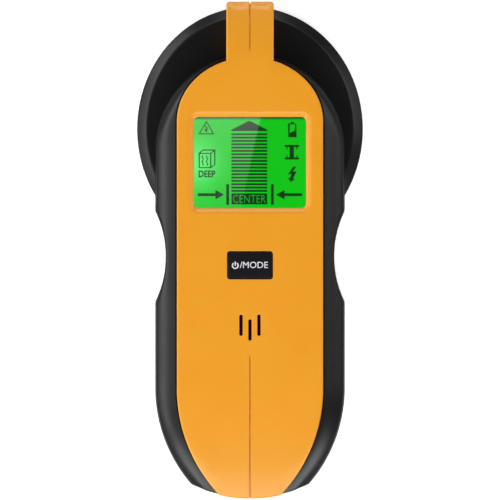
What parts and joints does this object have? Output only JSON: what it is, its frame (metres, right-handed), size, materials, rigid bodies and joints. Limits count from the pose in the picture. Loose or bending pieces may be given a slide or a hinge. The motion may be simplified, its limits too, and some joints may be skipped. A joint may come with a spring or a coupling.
{
  "type": "stud finder",
  "caption": "Handheld wall scanner for finding studs: round flat sensing head, orange face with a small display and one key, black case with a hinged battery door.",
  "frame": {"origin": "centre of the bounding box footprint, on the surface that the glide pads rest on", "axes": "+Z out of the display, +Y from the handle towards the round sensing head, +X to the right of someone reading the display"},
  "size_m": [0.0672, 0.147, 0.027],
  "materials": {
    "orange_plastic": "satin moulded ABS",
    "black_plastic": "fine-textured black ABS",
    "clear_pane": "clear acrylic",
    "display_glass": "lit green display",
    "white_plastic": "white ABS",
    "grey_rubber": "silicone",
    "guide_acrylic": "light guide",
    "led_green": "side-view LED",
    "key_rubber": "black silicone key",
    "carbon_rubber": "carbon-filled",
    "brass": "bare",
    "ceramic": "piezo ceramic",
    "board_green": "solder mask on glass-epoxy",
    "copper": "enamelled copper wire",
    "component_black": "moulded epoxy",
    "capacitor_sleeve": "sleeved aluminium can",
    "battery_jacket": "printed metal jacket",
    "plated_steel": "nickel-plated",
    "wire_red": "PVC insulation",
    "wire_black": "PVC insulation",
    "foam": "closed-cell foam",
    "screw_steel": "black zinc",
    "pad_felt": "dense felt"
  },
  "bodies": {
    "case": {"front_cover": "orange_plastic", "front_shell": "black_plastic", "rear_shell": "black_plastic", "lcd_window": "clear_pane", "lcd_panel": "display_glass", "lcd_frame": "white_plastic", "zebra_strip": "grey_rubber", "backlight_guide": "guide_acrylic", "backlight_leds": "led_green", "key_dome": "grey_rubber", "buzzer_disc": "brass", "buzzer_ceramic": "ceramic", "main_board": "board_green", "sensor_board": "board_green", "coil_former": "white_plastic", "sensor_coil": "copper", "header_body": "component_black", "header_pins": "brass", "controller_chip": "component_black", "amplifier_chip": "component_black", "voltage_regulator": "component_black", "capacitors": "capacitor_sleeve", "battery": "battery_jacket", "battery_terminals": "plated_steel", "battery_snap": "component_black", "snap_wire_red": "wire_red", "snap_wire_black": "wire_black", "case_screws": "screw_steel", "board_screws": "screw_steel", "sensor_screws": "screw_steel", "glide_pads": "pad_felt"},
    "key": {"mode_key": "key_rubber", "contact_pill": "carbon_rubber"},
    "door": {"battery_door": "black_plastic", "foam_pad": "foam"}
  },
  "joints": [
    {"name": "key_press", "type": "slide", "parent": "case", "child": "key", "axis": [0, 0, -1], "range_m": [0, 0.001], "stiffness_N_per_m": 1500, "deforming": ["key_dome"]},
    {"name": "door_hinge", "type": "hinge", "parent": "case", "child": "door", "pos_m": [0, -0.0669, 0.0017], "axis": [-1, 0, 0], "range_deg": [0, 85]}
  ]
}
